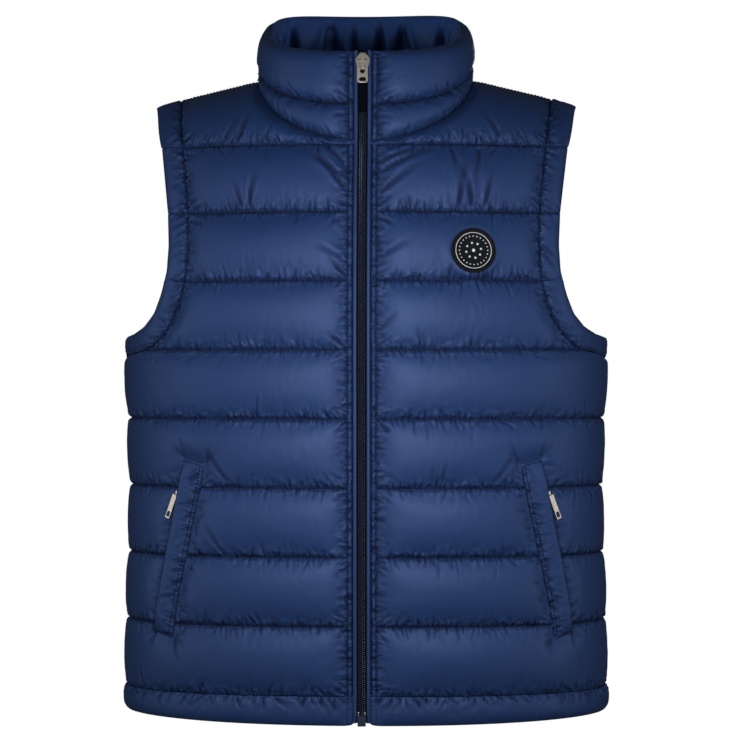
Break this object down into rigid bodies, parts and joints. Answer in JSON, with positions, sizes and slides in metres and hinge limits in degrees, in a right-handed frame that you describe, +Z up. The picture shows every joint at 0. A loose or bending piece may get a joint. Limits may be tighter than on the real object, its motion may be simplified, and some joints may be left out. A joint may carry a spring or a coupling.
{
  "type": "quilted waterproof vest",
  "caption": "Padded sleeveless vest, quilted in level channels, with stand collar, full front zip, slanted zipped pockets and a round chest badge; worn shape, open at neck, arms and hem.",
  "frame": {"origin": "midway between the shoulders at neck height, where the wearer carries the vest", "axes": "+Z up, -Y towards the front zip, +X towards the wearer's left"},
  "size_m": [0.4844, 0.2544, 0.7031],
  "materials": {
    "navy_shell": "satin coated nylon",
    "navy_facing": "satin lining nylon",
    "black_tape": "woven zip tape",
    "zip_metal": "dark nickel plate",
    "badge_rubber": "matt moulded rubber"
  },
  "bodies": {
    "vest": {"armhole_band_left": "navy_shell", "armhole_band_right": "navy_shell", "back": "navy_shell", "badge": "badge_rubber", "collar": "navy_shell", "collar_facing": "navy_facing", "front_left": "navy_shell", "front_right": "navy_shell", "hem_band": "navy_shell", "pocket_slider_left": "zip_metal", "pocket_slider_right": "zip_metal", "pocket_welt_left": "navy_shell", "pocket_welt_right": "navy_shell", "pocket_zip_left": "black_tape", "pocket_zip_right": "black_tape", "zip_binding_left": "navy_shell", "zip_binding_right": "navy_shell", "zip_box": "zip_metal", "zip_slider": "zip_metal", "zip_tape_left": "black_tape", "zip_tape_right": "black_tape"},
    "main_pull": {"zip_pull": "zip_metal", "zip_pull_tape": "black_tape"},
    "pocket_pull_left": {"pocket_pull_left": "zip_metal"},
    "pocket_pull_right": {"pocket_pull_right": "zip_metal"}
  },
  "joints": [
    {"name": "main_pull_swing", "type": "hinge", "parent": "vest", "child": "main_pull", "pos_m": [0, -0.0956, 0.01182], "axis": [-1, 0, 0], "range_deg": [0, 160]},
    {"name": "pocket_pull_left_swing", "type": "hinge", "parent": "vest", "child": "pocket_pull_left", "pos_m": [0.18065, -0.09465, -0.40532], "axis": [-0.8282, -0.4166, -0.3747], "range_deg": [0, 75]},
    {"name": "pocket_pull_right_swing", "type": "hinge", "parent": "vest", "child": "pocket_pull_right", "pos_m": [-0.18065, -0.09465, -0.40532], "axis": [-0.8282, 0.4166, 0.3747], "range_deg": [0, 75]}
  ]
}
